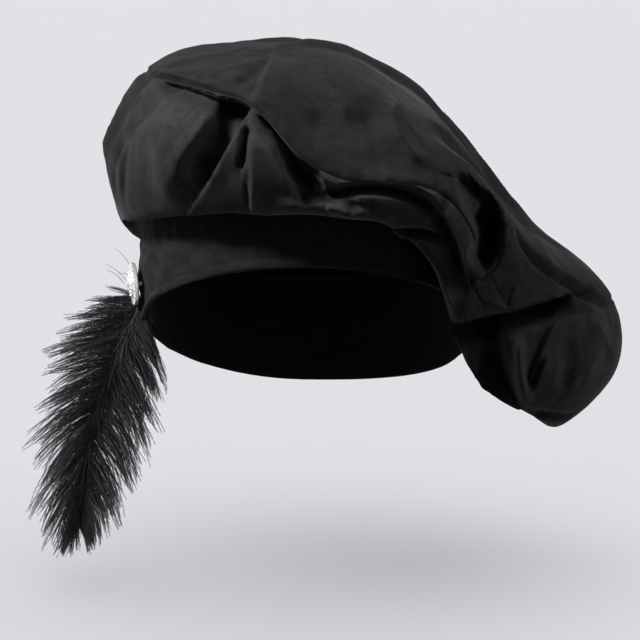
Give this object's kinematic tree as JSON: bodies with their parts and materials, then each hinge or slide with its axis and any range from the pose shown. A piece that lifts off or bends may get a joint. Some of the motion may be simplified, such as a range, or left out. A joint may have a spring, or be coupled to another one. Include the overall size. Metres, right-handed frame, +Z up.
{
  "type": "tudor beret",
  "caption": "Floppy two-piece velvet beret with an upright head band, a crown drooping over one side, and a hanging plume held by a stone-set brooch.",
  "frame": {"origin": "centre of the band's lower edge, where the hat sits on a head", "axes": "+Z straight up as worn, -Y the way the wearer looks, +X the wearer's left, over which the crown droops"},
  "size_m": [0.3337, 0.2925, 0.2842],
  "materials": {
    "band_velvet": "black velvet",
    "underside_velvet": "black velvet",
    "top_velvet": "black velvet",
    "plume_barbs": "dyed black ostrich feather",
    "setting_metal": "bright plated metal",
    "pin_metal": "plain steel",
    "cut_crystal": "cut clear stone"
  },
  "bodies": {
    "root": {"band": "band_velvet", "crown_underside": "underside_velvet", "crown_top": "top_velvet", "plume": "plume_barbs", "brooch_setting": "setting_metal", "brooch_post": "pin_metal", "stone_centre": "cut_crystal", "stone_inner_01": "cut_crystal", "stone_inner_02": "cut_crystal", "stone_inner_03": "cut_crystal", "stone_inner_04": "cut_crystal", "stone_inner_05": "cut_crystal", "stone_inner_06": "cut_crystal", "stone_inner_07": "cut_crystal", "stone_inner_08": "cut_crystal", "stone_outer_01": "cut_crystal", "stone_outer_02": "cut_crystal", "stone_outer_03": "cut_crystal", "stone_outer_04": "cut_crystal", "stone_outer_05": "cut_crystal", "stone_outer_06": "cut_crystal", "stone_outer_07": "cut_crystal", "stone_outer_08": "cut_crystal", "stone_outer_09": "cut_crystal", "stone_outer_10": "cut_crystal", "stone_outer_11": "cut_crystal", "stone_outer_12": "cut_crystal", "stone_outer_13": "cut_crystal", "stone_outer_14": "cut_crystal"}
  },
  "joints": []
}
